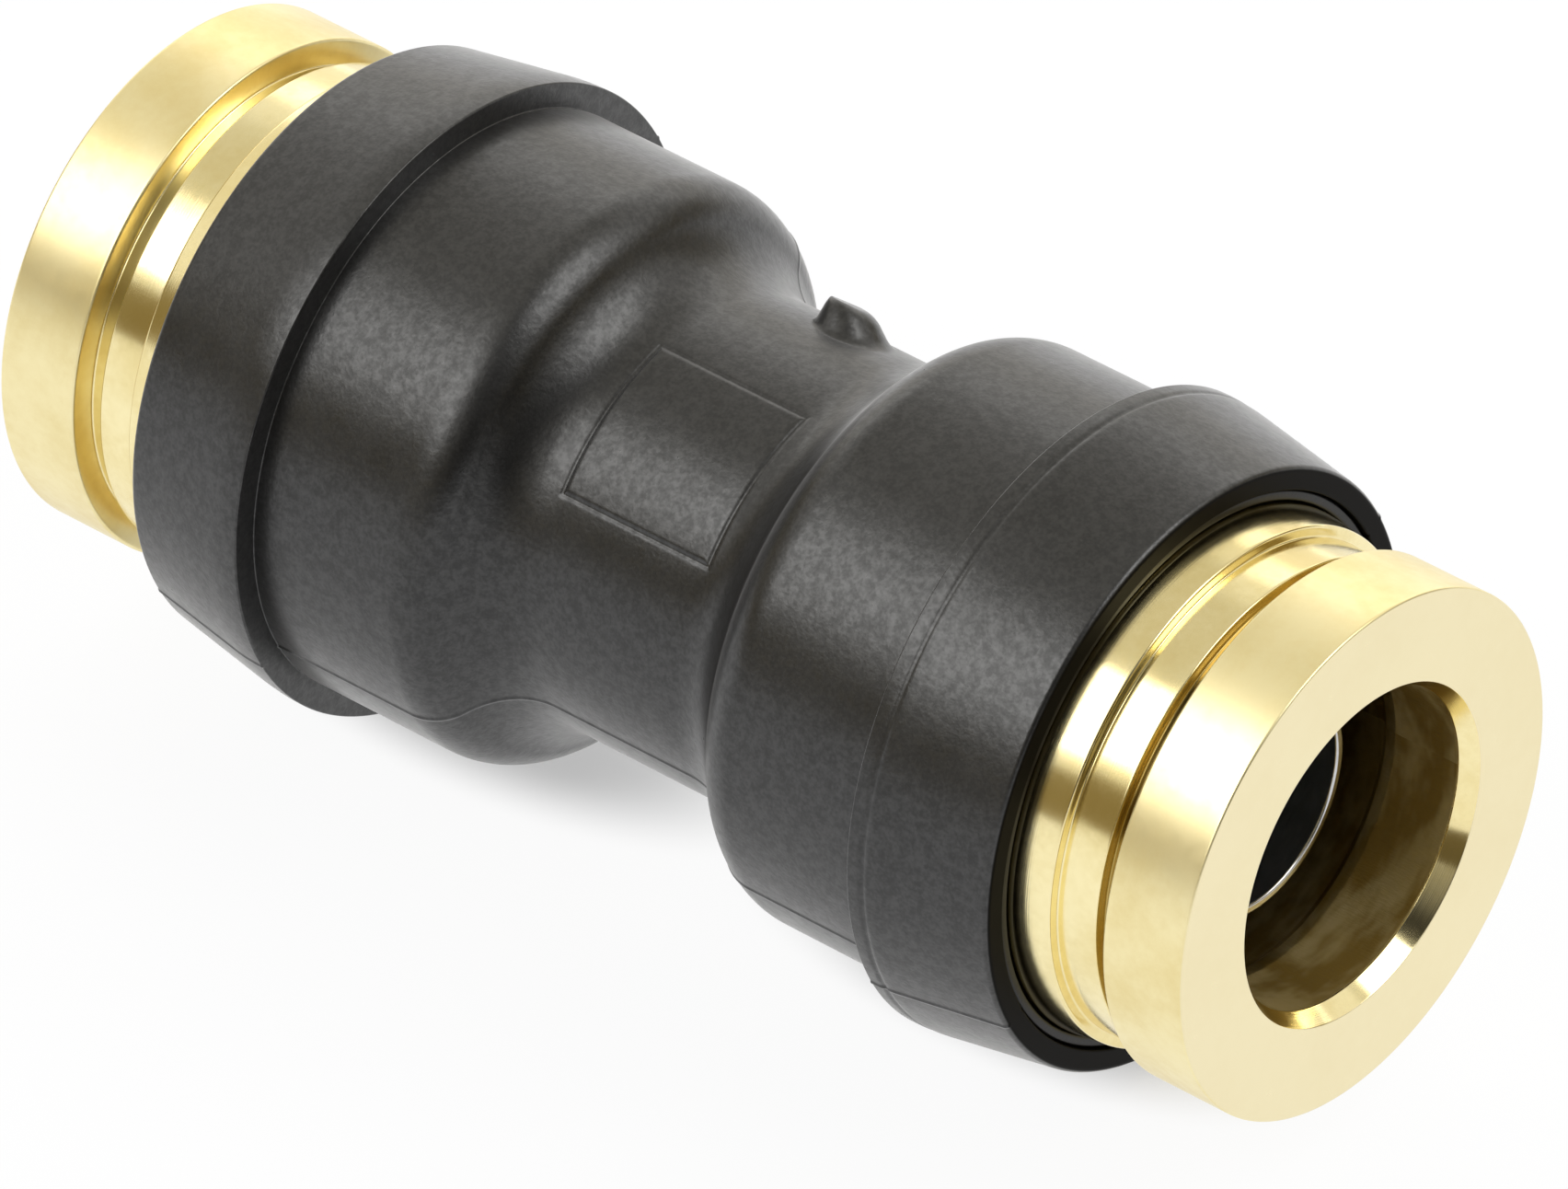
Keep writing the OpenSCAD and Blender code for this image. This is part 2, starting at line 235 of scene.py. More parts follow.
# Studio: a pale table, soft boxes, and a tent with a dark foot that only reflections show
studio = {
    "floorSize": 3.0,
    "floorPale": (0.86, 0.86, 0.86),
    "paintedWhiteShare": (0.45, 0.94),  # share of painted white glow in the floor that is seen: at the contact, where the real shadow shows, and away, where the glow paints the shadow out
    "contact": {  # the two places where it lies, in mm; reach is where the painted white glow takes over and its shade ends, in widths
        "x": 8.0, "length": 6.0, "width": 2.6, "reach": (0.7, 1.5),
    },
    "ambient": 0.2,
    "boxes": {
        "frontBox": {"azimuth": -21, "elevation": 45, "distance": 0.42, "size": (0.36, 0.245), "glow": 2.75},
        "backBox": {"azimuth": -145, "elevation": 18, "distance": 0.55, "size": (0.95, 0.36), "glow": 0.85},
        "rightBox": {"azimuth": 112, "elevation": 55, "distance": 0.42, "size": (0.26, 0.26), "glow": 3.0},
    },
    "fills": {
        "topFill": {"azimuth": -152, "elevation": 38, "distance": 0.6, "size": (0.9, 0.5), "glow": 3.0},
    },
    "tent": {
        "tentFoot": {"low": 2.5, "high": 22, "colour": (0.25, 0.195, 0.09)},
        "tentWall": {"low": 22, "high": 48, "colour": (0.92, 0.89, 0.82)},
        "tentTop": {"low": 48, "high": 89.5, "colour": (0.70, 0.67, 0.59)},
    },
    "tentReach": 1.2,
    "cameraSide": {"azimuth": 58, "width": 58, "colour": (0.03, 0.028, 0.025)},  # the tent is dark there
}


def addStage(name, corners, faces, material):
    mesh = bpy.data.meshes.new(name)
    mesh.from_pydata([tuple(c) for c in corners], [], faces)
    mesh.materials.append(material)
    piece = bpy.data.objects.new(name, mesh)
    bpy.context.scene.collection.objects.link(piece)
    return piece


def addFloor(studio):
    material, tree = newFinish("paleFloor")
    paper = tree.node("ShaderNodeBsdfDiffuse", None, {"Color": (*studio["floorPale"], 1)})
    white = tree.node("ShaderNodeEmission", None, {"Color": (1, 1, 1, 1), "Strength": 1.0})
    at, contact = tree.places(), studio["contact"]
    apart = (((abs(at.x) - contact["x"]) / contact["length"]) ** 2 + (at.y / contact["width"]) ** 2) ** 0.5
    near, far = studio["paintedWhiteShare"]
    camera, mirrored = seenRays(tree)
    # painted light: away from the contact the camera sees more white glow, which paints the floor's real
    # shadow out
    share = (camera * (near + (far - near) * apart.step(*contact["reach"]))).most(mirrored * far)
    tree.finish(tree.node("ShaderNodeMixShader", None, {0: share, 1: paper, 2: white}))
    half, floorZ = studio["floorSize"] / 2, cadBox[0].z
    corners = [(-half, -half, floorZ), (half, -half, floorZ), (half, half, floorZ), (-half, half, floorZ)]
    addStage("floor", corners, [(0, 1, 2, 3)], material)


def addWorld(studio):
    world = bpy.data.worlds.new("studioWorld")
    world.use_nodes = True
    bpy.context.scene.world = world
    tree = Tree(world.node_tree)
    seen = tree.node("ShaderNodeBackground", None, {"Color": (1, 1, 1, 1), "Strength": 1.0})
    felt = tree.node("ShaderNodeBackground", None, {"Color": (1, 1, 1, 1), "Strength": studio["ambient"]})
    camera, mirrored = seenRays(tree)
    both = tree.node("ShaderNodeMixShader", None, {0: camera.most(mirrored), 1: felt, 2: seen})
    tree.node("ShaderNodeOutputWorld", None, {"Surface": both})


def addTent(name, band, dark, reach, around=48, upward=8):
    material, tree = newFinish(name)
    at = tree.places()
    middle, width = math.radians(dark["azimuth"]), math.radians(dark["width"])
    shade = tree.maths("ARCTAN2", at.x, at.y * -1).bell(middle, width)
    colour = tree.mix(shade, band["colour"], dark["colour"])
    tree.finish(tree.node("ShaderNodeEmission", None, {"Color": colour, "Strength": 1.0}))
    heights = np.linspace(band["low"], band["high"], upward + 1)
    turns = np.linspace(0, 360, around, endpoint=False)
    corners = [outward(turn, height) * reach for height in heights for turn in turns]
    piece = addStage(name, corners, gridFaces(upward + 1, around, False).tolist(), material)
    piece.visible_camera = False
    piece.visible_diffuse = False
    piece.visible_shadow = False


def addSoftBox(name, box, mirrored):
    lamp = bpy.data.lights.new(name, "AREA")
    lamp.shape = "RECTANGLE"
    lamp.size, lamp.size_y = box["size"]
    lamp.energy = box["glow"] * math.pi * lamp.size * lamp.size_y
    soft = bpy.data.objects.new(name, lamp)
    out = outward(box["azimuth"], box["elevation"])
    soft.location = out * box["distance"]
    soft.rotation_euler = out.to_track_quat("Z", "Y").to_euler()
    soft.visible_camera = False
    soft.visible_glossy = mirrored
    bpy.context.scene.collection.objects.link(soft)


addFloor(studio)
addWorld(studio)
for name, band in studio["tent"].items():
    addTent(name, band, studio["cameraSide"], studio["tentReach"])
for name, box in studio["boxes"].items():
    addSoftBox(name, box, True)
for name, box in studio["fills"].items():  # these light the nylon's sheen and leave the brass alone
    addSoftBox(name, box, False)
print("studio built")


# Turned forms: a closed outline of (x, radius) points swept round the tube axis
def arc(middleX, middleR, radius, start, end, steps):
    turns = np.radians(np.linspace(start, end, steps + 1))
    return [(middleX + radius * math.cos(t), middleR + radius * math.sin(t)) for t in turns]


# Corners are (x, radius, edge round); the first and last stay sharp, and so does one that is nearly straight
def rounded(corners, steps=6, straight=3.13):
    path = [tuple(corners[0][:2])]
    for before, corner, after in zip(corners, corners[1:], corners[2:]):
        here = np.array(corner[:2], float)
        back, ahead = np.array(before[:2], float) - here, np.array(after[:2], float) - here
        back, ahead = back / np.linalg.norm(back), ahead / np.linalg.norm(ahead)
        opening = math.acos(np.clip(back @ ahead, -1, 1))
        if corner[2] == 0 or opening > straight:
            path.append(tuple(here))
            continue
        reach = corner[2] / math.tan(opening / 2)
        middle = here + (back + ahead) / np.linalg.norm(back + ahead) * corner[2] / math.sin(opening / 2)
        first, last = here + back * reach - middle, here + ahead * reach - middle
        sweep = math.pi - opening
        for i in range(steps + 1):
            a = sweep * i / steps
            spot = middle + (first * math.sin(sweep - a) + last * math.sin(a)) / math.sin(sweep)
            path.append(tuple(spot))
    path.append(tuple(corners[-1][:2]))
    return path


def spaced(path, step, lead=0.03):  # adds points along straight stretches, with one close to each end
    made = []
    for (x0, r0), (x1, r1) in zip(path, path[1:]):
        length = math.hypot(x1 - x0, r1 - r0)
        shares = [0]
        if length > 4 * lead:
            count = max(1, round((length - 2 * lead) / step))
            shares += [(lead + (length - 2 * lead) * i / count) / length for i in range(count + 1)]
        made += [(x0 + (x1 - x0) * s, r0 + (r1 - r0) * s) for s in shares]
    return made + [path[-1]]


def mirrorPath(path):  # the same outline at the left end, in the order that keeps its faces outward
    return [(-x, r) for x, r in reversed(path)]


# The grids xs and radii, in mm, have a row for each outline point and a column for each clock angle
def turnedMesh(name, xs, radii, clocks, sharp=35):
    corners = np.stack([xs, -radii * np.cos(clocks), radii * np.sin(clocks)], -1).reshape(-1, 3) * mm
    faces = gridFaces(*radii.shape, True)
    mesh = bpy.data.meshes.new(name)
    mesh.vertices.add(len(corners))
    mesh.vertices.foreach_set("co", corners.ravel())
    mesh.loops.add(faces.size)
    mesh.loops.foreach_set("vertex_index", faces.ravel())
    mesh.polygons.add(len(faces))
    mesh.polygons.foreach_set("loop_start", np.arange(0, faces.size, 4))
    mesh.polygons.foreach_set("use_smooth", np.ones(len(faces), bool))
    mesh.update(calc_edges=True)
    mesh.validate()
    mesh.set_sharp_from_angle(angle=math.radians(sharp))
    return mesh


def sweepLoop(name, loop, side, count):
    outline = np.array(loop if side > 0 else mirrorPath(loop))
    clocks = np.linspace(0, 2 * math.pi, count, endpoint=False)
    ones = np.ones((1, count))
    return turnedMesh(name, outline[:, :1] * ones, outline[:, 1:] * ones, clocks[None, :])


def addPiece(name, mesh, material, body, slot, *nodes):
    mesh.materials.append(material)
    piece = bpy.data.objects.new(name, mesh)
    bpy.context.scene.collection.objects.link(piece)
    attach(piece, body)
    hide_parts(*nodes)
    return piece


# Moulded body: charcoal glass-filled nylon, in mm and degrees
# A mark's "fine" is the reach and step of the closer clock angles there
body = {
    "waistR": 5.7,
    "waistFillet": 2.25,
    "waistFoot": 8,  # degrees of the hollow beside the waist, with closer points for the panel's ends
    "shoulderR": 7.5,
    "shoulderRound": 1.4,
    "shoulderX": 5.2,
    "collarX": 9.338,
    "collarLand": 0.45,
    "mouthR": 7.62,
    "mouthRound": 0.16,
    "mouthInnerRound": 0.05,
    "landRound": 5.0,
    "landLine": {"depth": 0.032, "width": 0.06},  # fine mould line where the right collar's land ends
    "backEdge": 0.045,
    "rootFillet": 0.03,
    "flash": {  # broken line on the step behind each collar
        "up": 0.2, "width": 0.035, "rise": 0.035, "near": 0.03, "share": 0.6, "waves": (37, 23, 61),
    },
    "bores": [(12.518, 7.04), (10.338, 6.77), (7.288, 6.34), (4.3, 5.8), (1.0, 4.1)],  # inner end and radius
    "boreEdge": 0.04,
    "flowR": 2.65,
    "parting": {"clock": -27, "width": 0.055, "rise": 0.03, "fine": (1.3, 0.2)},
    "panel": {  # its marks end where the body is higher than the waist by "room"
        "clock": 57.5, "length": 4.4, "width": 4.3, "rise": 0.02, "edge": 0.05,
        "groove": 0.036, "grooveWidth": 0.065, "room": 0.2, "fine": (1.6, 0.3),
    },
    "stub": {  # leaning cone, broken off at a slope
        "clock": 120, "x": 0.35, "length": 1.95, "rise": 0.62, "draft": 30, "lean": 20, "slope": 10,
        "torn": 0.012, "topBlend": 0.22, "footBlend": 0.18, "reach": 2, "limits": (-0.5, 2),
        "fine": (17, 0.4),
    },
    "steps": {"clock": 300, "foot": 12, "arc": 24, "collar": 16, "bore": 3},
    "spacing": {"waist": 0.04, "collar": 0.3, "bore": 1.2},  # mm between points of straight stretches
}


def bodyOutline(body):
    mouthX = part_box("body")[1].x / mm
    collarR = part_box("body")[1].z / mm
    waistR, waistFillet, collarX = body["waistR"], body["waistFillet"], body["collarX"]
    shoulderX, shoulderR, shoulderRound = body["shoulderX"], body["shoulderR"], body["shoulderRound"]
    steps, spacing = body["steps"], body["spacing"]
    drop = waistFillet + shoulderRound
    turn = math.degrees(math.acos(1 - (shoulderR - waistR) / drop))
    waistX = shoulderX - drop * math.sin(math.radians(turn))
    foot = body["waistFoot"] - 90
    hollow = arc(waistX, waistR + waistFillet, waistFillet, -90, foot, steps["foot"])
    hollow += arc(waistX, waistR + waistFillet, waistFillet, foot, turn - 90, steps["arc"])[1:]
    crown = arc(shoulderX, shoulderR - shoulderRound, shoulderRound, turn + 90, 90, steps["arc"])
    waist = spaced([(0, waistR), hollow[0]], spacing["waist"])[1:-1]
    boreX, boreR = body["bores"][0]
    collar = rounded([
        (shoulderX, shoulderR, 0),
        (collarX, shoulderR, body["rootFillet"]),
        (collarX, collarR, body["backEdge"]),
        (collarX + body["collarLand"], collarR, body["landRound"]),
        (mouthX, body["mouthR"], body["mouthRound"]),
        (mouthX, boreR, body["mouthInnerRound"]),
        (boreX, boreR, 0),
    ], steps["collar"])
    outer = waist + hollow + crown[1:] + spaced(collar, spacing["collar"])[1:-1]
    inner = []
    following = [bore[1] for bore in body["bores"][1:]] + [body["flowR"]]
    for (x, r), nextR in zip(body["bores"], following):
        inner += [(x, r, 0), (x, nextR, body["boreEdge"])]
    inner = rounded(inner + [(0, body["flowR"], 0)], steps["bore"])
    return outer, spaced(inner, spacing["bore"])


def clockGrid(body):  # clock angles, closer together where the fine marks are
    parting, panel, stub = body["parting"], body["panel"], body["stub"]
    span = math.degrees(panel["width"] / 2 / body["waistR"])
    fine = [(parting["clock"] + half, *parting["fine"]) for half in (0, 180)]
    fine += [(panel["clock"] + s * span, *panel["fine"]) for s in (-1, 1)]
    fine += [(stub["clock"], *stub["fine"])]
    turns = list(np.arange(body["steps"]["clock"]) * 360 / body["steps"]["clock"])
    for middle, reach, step in fine:
        turns = [t for t in turns if abs((t - middle + 180) % 360 - 180) > reach + step / 2]
        turns += list((middle + np.arange(-reach, reach + step / 2, step)) % 360)
    return np.radians(np.array(sorted(turns)))


def away(clocks, degrees):  # signed angle from a clock place
    return (clocks - math.radians(degrees) + math.pi) % (2 * math.pi) - math.pi


def smooth(value, low, high):
    t = np.clip((value - low) / (high - low), 0, 1)
    return t * t * (3 - 2 * t)


def softLeast(a, b, blend):
    h = np.clip(0.5 + 0.5 * (b - a) / blend, 0, 1)
    return b + (a - b) * h - blend * h * (1 - h)


def stubTop(stub, x, s):  # height of the stub's top and flanks over the waist; s is the way round
    lean, draft = math.radians(stub["lean"]), math.radians(stub["draft"])
    pointRise = stub["length"] / (math.tan(draft + lean) + math.tan(draft - lean))
    u = x - stub["x"] - stub["length"] / 2 + pointRise * math.tan(draft + lean)  # from the cone's point
    steep = math.sin(draft) ** 2 - math.sin(lean) ** 2
    tilt = u * math.sin(lean) * math.cos(lean)
    spread = u * u * (math.cos(draft) ** 2 - math.sin(lean) ** 2) + s * s * math.cos(draft) ** 2
    flank = pointRise + (tilt - np.sqrt(tilt ** 2 + steep * spread)) / steep
    broken = stub["torn"] * np.sin(4 * x + 3 * s) * np.sin(3 * s - 2 * x)
    cut = stub["rise"] - s * math.tan(math.radians(stub["slope"])) + broken
    return softLeast(np.clip(flank, *stub["limits"]), cut, stub["topBlend"])


def moulded(body, x, r, clocks):  # how far each point of the outside stands above the turned form
    rise = np.zeros_like(r)
    mark = body["parting"]
    for half in (0, 180):
        rise += mark["rise"] * np.exp(-((r * away(clocks, mark["clock"] + half) / mark["width"]) ** 2))

    line = body["landLine"]
    rise -= line["depth"] * np.exp(-(((x - body["collarX"] - body["collarLand"]) / line["width"]) ** 2))

    panel = body["panel"]
    across = np.abs(body["waistR"] * away(clocks, panel["clock"])) - panel["width"] / 2
    inside = np.maximum(np.abs(x) - panel["length"] / 2, across)  # below zero on the panel
    onWaist = r < body["waistR"] + panel["room"]
    rise += onWaist * panel["rise"] * smooth(-inside, -panel["edge"], panel["edge"])
    rise -= onWaist * panel["groove"] * np.exp(-((inside / panel["grooveWidth"]) ** 2))

    stub = body["stub"]
    s = body["waistR"] * away(clocks, stub["clock"])
    top = stubTop(stub, x, s)
    near = (np.abs(s) < stub["reach"]) & (np.abs(x) < stub["reach"])
    rise += np.where(near, -softLeast(-top, np.zeros_like(top), stub["footBlend"]), 0)
    return rise


def makeBody(body, material):
    outer, inner = bodyOutline(body)
    loop = mirrorPath(outer) + [(0, body["waistR"])] + outer + inner + mirrorPath(inner)[1:]
    outsideCount = 2 * len(outer) + 1
    outline = np.array(loop)
    clocks = clockGrid(body)[None, :]
    x = outline[:, :1] * np.ones_like(clocks)
    r = outline[:, 1:] * np.ones_like(clocks)
    outside = np.arange(len(loop))[:, None] < outsideCount
    r = r + np.where(outside, moulded(body, x, r, clocks), 0)

    flash = body["flash"]
    onStep = np.exp(-(((r - body["shoulderR"] - flash["up"]) / flash["width"]) ** 2))
    onStep = onStep * (np.abs(np.abs(x) - body["collarX"]) < flash["near"])
    first, second, third = flash["waves"]
    broken = np.sin(first * clocks) * np.sin(second * clocks + 1)
    broken = broken + flash["share"] * (1 + np.sin(third * clocks + 2))
    x = x - np.sign(x) * np.where(outside, onStep, 0) * flash["rise"] * np.clip(broken, 0, 1)
    mesh = turnedMesh("mouldedBody", x, r, clocks)
    addPiece("mouldedBody", mesh, material, "coupling_body", "black_nylon", "body")


nylon = {
    "deep": (0.002, 0.0018, 0.0016),
    "pale": (0.007, 0.0066, 0.0062),
    "tone": (0.3, 0.7),  # of clouds and grains, from deep to pale
    "seam": {"colour": (0.004, 0.004, 0.004), "width": (0.03, 0.16), "strength": 0.55},  # the parting line
    "rough": 0.33,
    "grainGloss": 0.2,  # how much less rough the bright grains are
    "cloudRough": 0.1,
    "shine": (0.62, 0.885),  # of the dull and the bright grains
    "shineStep": (0.36, 0.66),
    "sheen": 0.7,
    "sheenRough": 0.3,
    "sheenTint": (0.9, 0.89, 0.88, 1),
    "cloud": (0.9, 3),  # how many in a mm, then the noise's detail and roughness
    "grain": (4.2, 3, 0.6),
    "fineGrain": (10.92, 1),
    "grainShare": 0.6,  # of the height; the fine grain has the rest
    "bump": (0.25, 0.03),  # strength, and depth in mm
    "foldShade": {  # painted shade: the right hollow's fold takes the dark inside finish from one clock angle to the other, in radians
        "middle": 3.75, "width": 1.05, "from": (-1.3, -0.7), "to": (1.1, 1.5), "strength": 0.92,
    },
    "inside": {  # painted shade: the mouths' faces and the bores take a dark, nearly unreflecting finish
        "colour": (0.004, 0.0032, 0.0022), "rough": 0.5, "shine": 0.06,
        "mouth": (0.04, 0.01), "flow": (0.5, 0.4), "wall": (0.06, 0.11), "end": (0.338, 0.138),  # fades, mm
    },
}


def nylonFinish(nylon, body):
    material, tree = newFinish("blackNylon")
    at = tree.places()
    cloud = tree.noise(at.point, *nylon["cloud"])
    grain = tree.noise(at.point, *nylon["grain"])
    fine = tree.noise(at.point, *nylon["fineGrain"])
    tone = (cloud * 0.5 + grain * 0.5).step(*nylon["tone"])
    seam, turn = nylon["seam"], at.clock - math.radians(body["parting"]["clock"])
    onSeam = 1 - (abs(tree.maths("SINE", turn)) * at.radius).step(*seam["width"])
    colour = tree.mix(tone, nylon["deep"], nylon["pale"])
    colour = tree.mix(onSeam * seam["strength"], colour, seam["colour"])
    rough = nylon["rough"] - (grain - 0.5) * nylon["grainGloss"] + (cloud - 0.5) * nylon["cloudRough"]
    height = grain * nylon["grainShare"] + fine * (1 - nylon["grainShare"])
    normal = tree.bump(height, *nylon["bump"])
    dull, bright = [tree.node("ShaderNodeBsdfPrincipled", None, {
        "Base Color": colour, "Roughness": rough, "Normal": normal, "Specular IOR Level": shine,
        "Sheen Weight": nylon["sheen"], "Sheen Roughness": nylon["sheenRough"],
        "Sheen Tint": nylon["sheenTint"],
    }) for shine in nylon["shine"]]
    shining = height.step(*nylon["shineStep"])
    outside = tree.node("ShaderNodeMixShader", None, {0: shining, 1: dull, 2: bright})

    # Painted shade: the mouths' faces and the bores are mixed towards a dark finish with little reflection
    inner = nylon["inside"]
    inside = tree.node("ShaderNodeBsdfPrincipled", None, {
        "Base Color": (*inner["colour"], 1), "Roughness": inner["rough"],
        "Specular IOR Level": inner["shine"],
    })
    mouthX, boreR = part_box("body")[1].x / mm, body["bores"][0][1]
    onMouth = abs(at.x).step(*[mouthX - gap for gap in inner["mouth"]])
    inFlow = 1 - at.radius.step(*[body["waistR"] - gap for gap in inner["flow"]])
    inMouth = 1 - at.radius.step(*[boreR + gap for gap in inner["wall"]])
    inMouth = inMouth * abs(at.x).step(*[body["collarX"] - gap for gap in inner["end"]])
    # Painted shade: the right hollow's fold between two clock angles is mixed towards the dark inside finish,
    # hiding its grazing sheen and reflections
    foldShade = nylon["foldShade"]
    foldShadeMask = at.x.bell(foldShade["middle"], foldShade["width"]) * at.clock.step(*foldShade["from"])
    foldShadeMask = foldShadeMask * (1 - at.clock.step(*foldShade["to"])) * foldShade["strength"]
    share = onMouth.most(inFlow.most(inMouth)).most(foldShadeMask)
    tree.finish(tree.node("ShaderNodeMixShader", None, {0: share, 1: outside, 2: inside}))
    return material


makeBody(body, nylonFinish(nylon, body))
print("body moulded")


# Turned brass: release sleeves, and the retainers inside
sleeve = {
    "tailR": 5.3,
    "reliefR": 4.3,
    "landR": 4.1,
    "nose": [(8.965, 4.8), (9.168, 5.255)],
    "groove": (9.168, 9.758, 5.05),  # from, to, floor radius
    "guideX": 12.288,
    "guideFall": 0.12,  # of the guide band's radius, from the mouth out to the neck
    "neck": (14.088, 6.3),
    "undercut": (15.238, 6.0),
    "flangeX": 15.738,
    "land": (15.428, 17.578),
    "entryR": 4.36,
    "startR": 5.4,  # on the end face, where the outline begins
    "rounds": {
        "edge": 0.07, "fine": 0.03, "land": 0.04, "root": 0.05, "guide": 0.1, "cut": 0.04, "flange": 0.06,
    },
    "spacing": 0.35,
    "clockSteps": 288,
}


def sleeveLoop(sleeve):
    low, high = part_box("release_sleeve_right")
    faceX, tailX, guideR = high.x / mm, low.x / mm, high.z / mm
    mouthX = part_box("body")[1].x / mm
    neckX, neckR = sleeve["neck"]
    cutX, cutR = sleeve["undercut"]
    grooveX, grooveEnd, grooveR = sleeve["groove"]
    landX, landEnd = sleeve["land"]
    rounds = sleeve["rounds"]
    start = (faceX, sleeve["startR"], 0)
    corners = [
        start,
        (faceX, sleeve["entryR"], rounds["fine"]),
        (landEnd, sleeve["landR"], rounds["land"]),
        (landX, sleeve["landR"], rounds["fine"]),
        (landX - sleeve["reliefR"] + sleeve["landR"], sleeve["reliefR"], rounds["fine"]),
        (tailX, sleeve["reliefR"], rounds["root"]),
        (*sleeve["nose"][0], rounds["root"]),
        (*sleeve["nose"][1], rounds["fine"]),
        (grooveX, grooveR, rounds["fine"]),
        (grooveEnd, grooveR, rounds["fine"]),
        (grooveEnd, sleeve["tailR"], rounds["fine"]),
        (sleeve["guideX"], sleeve["tailR"], rounds["root"]),
        (sleeve["guideX"], guideR, rounds["guide"]),
        (mouthX, guideR, rounds["guide"]),
        (neckX, guideR - sleeve["guideFall"], rounds["edge"]),
        (neckX, neckR, rounds["root"]),
        (cutX, neckR, rounds["root"]),
        (cutX, cutR, rounds["cut"]),
        (sleeve["flangeX"], cutR, rounds["flange"]),
        (sleeve["flangeX"], guideR, rounds["edge"]),
        (faceX, guideR, rounds["edge"]),
        start,
    ]
    return spaced(rounded(corners), sleeve["spacing"])[:-1][::-1]


brass = {
    "base": (0.97, 0.86, 0.50),
    "warm": (0.75, 0.58, 0.20),
    "satin": (0.91, 0.81, 0.53),  # the end face
    "deep": (0.36, 0.24, 0.05),  # painted shade in the right undercut
    "undercutShadeShare": {"right": 0.8, "left": 0},
    # painted shade: the bore's brass is darkened towards this deep brown
    "bore": (0.36, 0.235, 0.05),
    "boreR": (4.6, 4.9),  # where the bore's painted shade fades out
    "bandRough": 0.15,
    "flangeRough": 0.34,
    "faceRough": 0.3,
    "boreRough": 0.22,  # more in the bore, and less on its bevel
    "wearRough": 0.12,
    "lathe": (34, 0.7, 3, 0.6),  # marks in a mm and in a radian, then the noise's detail and roughness
    "rings": (22, 0.5, 2, 0.5),
    "scratch": (2.2, 42, 3, 0.7),
    "smear": (0.9, 1.6, 3, 0.6),
    "smearStep": (0.35, 0.65),
    "smearShare": (0.95, 0.5),  # of the bore's painted shade colour, outside a smear and in it
    "cloud": (0.32, 2),
    "wear": (3.2, 4, 0.65),
    "tone": (0.35, 0.68),  # of clouds and wear, from base to warm
    "toneShare": 0.5,
    "satinShare": 0.85,
    "latheHeight": 0.55,
    "ringHeight": 0.25,
    "latheBump": (0.10, 0.02),  # strength, and depth in mm
    "scratchBump": (0.5, 0.03),
    "bevel": 0.06,  # how far before the land's end the bevel's look begins
    "flange": (0.05, 0),  # fades, mm before the flange, before the end face and from the undercut
    "face": (0.03, 0.005),
    "cutR": (0.12, 0.5),
    "cutX": (-0.03, 0.02),
}


def brassFinish(name, brass, sleeve, undercutShade):
    material, tree = newFinish(name)
    at = tree.places()
    along = abs(at.x)
    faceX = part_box("release_sleeve_right")[1].x / mm
    flangeX, landEnd = sleeve["flangeX"], sleeve["land"][1]
    cutX, cutR = sleeve["undercut"]
    onFlange = along.step(*[flangeX - gap for gap in brass["flange"]])
    onFace = along.step(*[faceX - gap for gap in brass["face"]])
    within = 1 - at.radius.step(*brass["boreR"])
    pastLand = along.step(landEnd - brass["bevel"], landEnd)
    inBore = within * (1 - pastLand)
    onBevel = within * pastLand * (1 - onFace)
    inCut = 1 - at.radius.step(*[cutR + gap for gap in brass["cutR"]])
    inCut = inCut * along.step(*[cutX + gap for gap in brass["cutX"]]) * (1 - inBore) * (1 - onFlange)

    lathe = tree.streaks(along, at.clock, *brass["lathe"])
    rings = tree.streaks(at.radius, at.clock, *brass["rings"])
    scratch = tree.streaks(along, at.clock, *brass["scratch"])
    smear = tree.streaks(along, at.clock, *brass["smear"]).step(*brass["smearStep"])
    cloud = tree.noise(at.point, *brass["cloud"])
    wear = tree.noise(at.point, *brass["wear"])
    height = lathe * brass["latheHeight"] * (1 - onFace) + rings * brass["ringHeight"] * onFace
    normal = tree.bump(height, *brass["latheBump"])
    normal = tree.bump(scratch * inBore, *brass["scratchBump"], normal)
    rough = brass["bandRough"] + onFlange * (brass["flangeRough"] - brass["bandRough"])
    rough = rough + onFace * (brass["faceRough"] - brass["flangeRough"])
    rough = rough + (wear - 0.5) * brass["wearRough"] + (inBore - onBevel) * brass["boreRough"]
    tone = (cloud * 0.75 + wear * 0.25).step(*brass["tone"])
    colour = tree.mix(tone * brass["toneShare"], brass["base"], brass["warm"])
    colour = tree.mix(onFace * brass["satinShare"], colour, brass["satin"])
    dark, smeared = brass["smearShare"]
    # Painted shade: inside the bore the brass is mixed towards the dark bore colour, less so in the smears
    colour = tree.mix(inBore * (dark - (dark - smeared) * smear), colour, brass["bore"])
    # Painted shade: the undercut is darkened towards the deep brown, on the right sleeve only
    colour = tree.mix(inCut * undercutShade, colour, brass["deep"])
    tree.finish(tree.node("ShaderNodeBsdfPrincipled", None, {
        "Base Color": colour, "Metallic": 1.0, "Roughness": rough, "Normal": normal,
    }))
    return material


for side, sign in sides.items():
    finish = brassFinish("turnedBrass_" + side, brass, sleeve, brass["undercutShadeShare"][side])
    mesh = sweepLoop("releaseSleeve_" + side, sleeveLoop(sleeve), sign, sleeve["clockSteps"])
    node = "release_sleeve_" + side  # its body has the same name
    addPiece("releaseSleeve_" + side, mesh, finish, node, "turned_brass", node)
print("sleeves turned")


# Rubber wipers at the two mouths
wiper = {"thick": 0.285, "lip": 0.09, "backEdge": 0.03, "arcSteps": 8, "spacing": 0.25, "clockSteps": 224}


